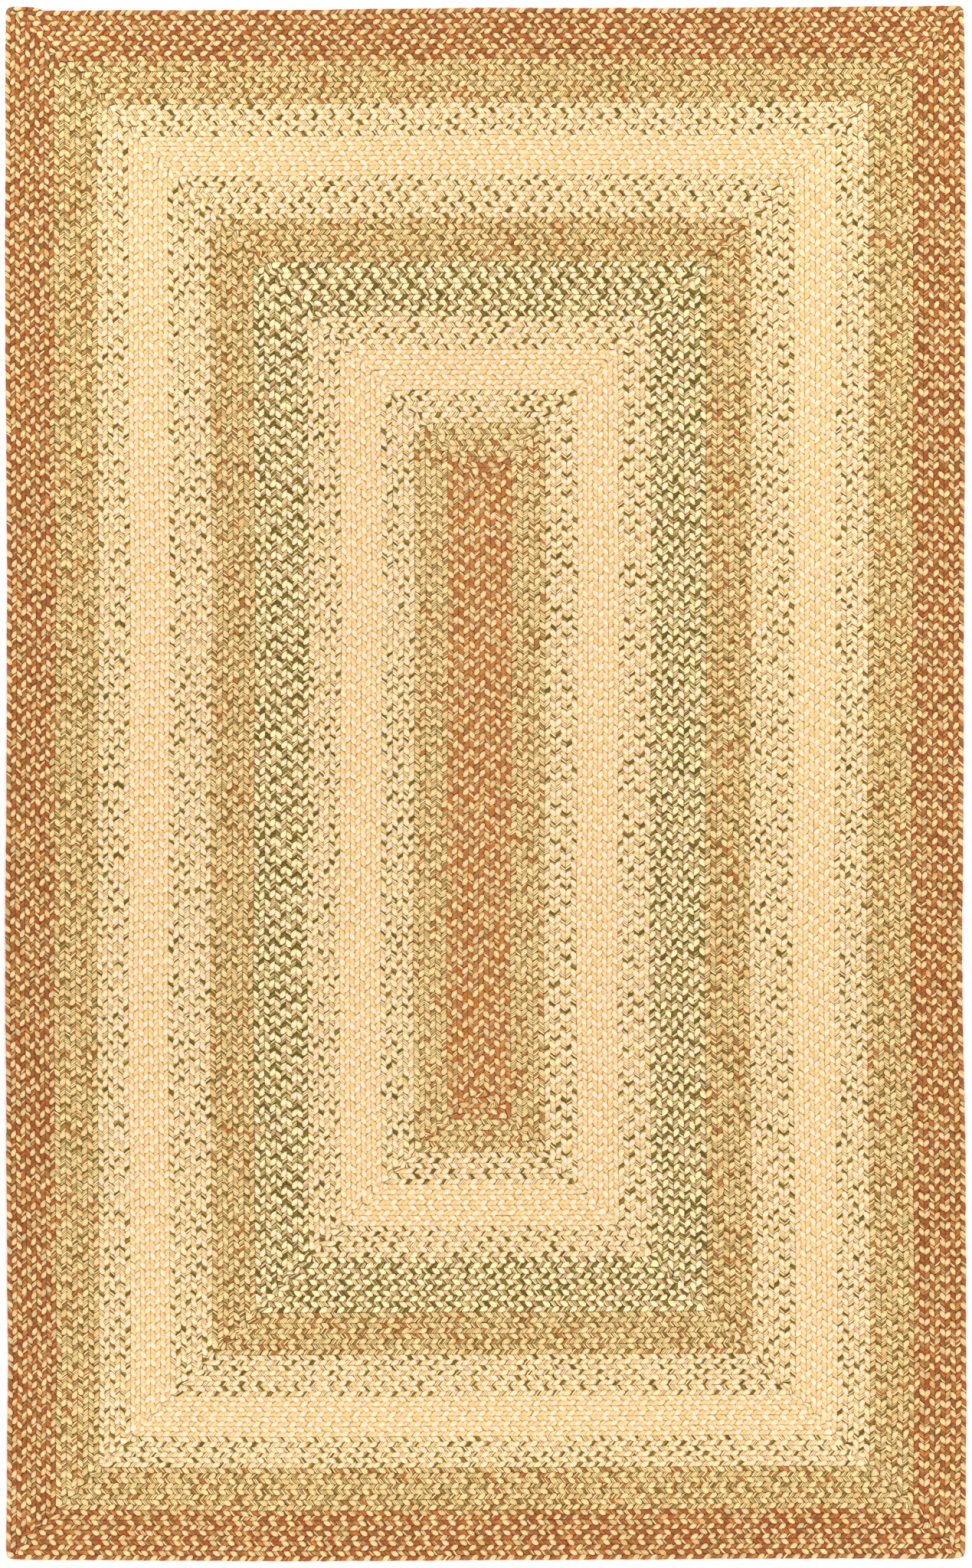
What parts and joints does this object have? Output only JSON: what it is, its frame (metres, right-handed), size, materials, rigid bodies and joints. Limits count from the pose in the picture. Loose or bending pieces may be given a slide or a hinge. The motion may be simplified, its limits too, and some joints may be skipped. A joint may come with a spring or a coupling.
{
  "type": "braided rug",
  "caption": "Rectangular braided rug: one flat three-strand braid wound in a spiral and laced edge to edge, in nested bands of warm earth colours.",
  "frame": {"origin": "centre of the rug's outline, on its underside", "axes": "+Y along the rug's length, towards the edge where the braid ends; +X across its width, to the right as seen from above with +Y up; +Z up, from the underside to the top"},
  "size_m": [1.5202, 2.4596, 0.01],
  "materials": {
    "rust_braid": "matte",
    "olive_braid": "matte",
    "cream_braid": "matte",
    "gold_braid": "matte",
    "green_braid": "matte"
  },
  "bodies": {
    "root": {"centre_rust": "rust_braid", "inner_olive": "olive_braid", "inner_cream": "cream_braid", "inner_gold": "gold_braid", "second_cream": "cream_braid", "green": "green_braid", "middle_olive": "olive_braid", "third_cream": "cream_braid", "outer_gold": "gold_braid", "outer_cream": "cream_braid", "outer_olive": "olive_braid", "border_rust": "rust_braid"}
  },
  "joints": []
}
